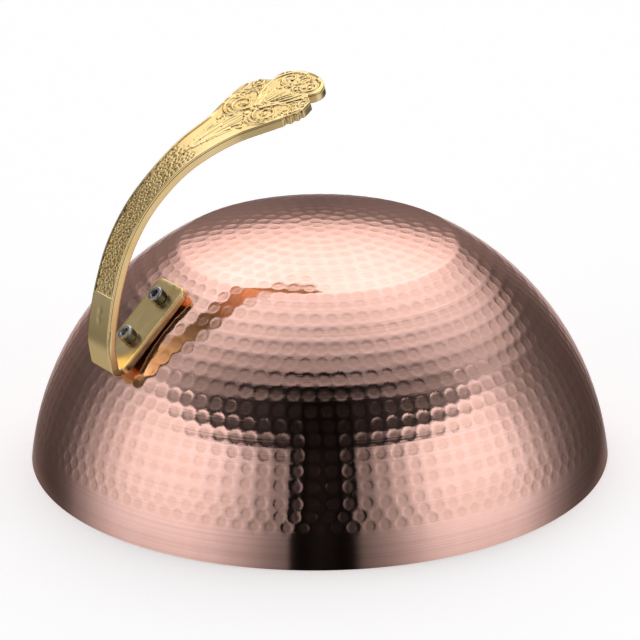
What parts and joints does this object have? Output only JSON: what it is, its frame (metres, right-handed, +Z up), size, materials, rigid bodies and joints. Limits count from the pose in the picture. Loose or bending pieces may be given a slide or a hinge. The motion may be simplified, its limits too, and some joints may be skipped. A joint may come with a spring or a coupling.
{
  "type": "dome food cover",
  "caption": "Hammered metal dome cover with a curved ornamental strap handle bolted to one shoulder.",
  "frame": {"origin": "centre of the rim circle, on the plane that the rim rests on", "axes": "+Z up along the dome's axis; the handle lies in the XZ plane with its foot on the -X side"},
  "size_m": [0.3, 0.3, 0.2046],
  "materials": {
    "hammered_copper": null,
    "cast_brass": "cast brass with a stippled panel and raised scrolls, edges polished",
    "screw_steel": "bare machined steel with a knurled side",
    "zinc_plate": "bright zinc plating"
  },
  "bodies": {
    "root": {"dome_shell": "hammered_copper", "handle": "cast_brass", "socket_screw_upper": "screw_steel", "socket_screw_lower": "screw_steel", "plain_washer_upper": "zinc_plate", "plain_washer_lower": "zinc_plate", "spring_washer_upper": "zinc_plate", "spring_washer_lower": "zinc_plate", "hex_nut_upper": "zinc_plate", "hex_nut_lower": "zinc_plate"}
  },
  "joints": []
}
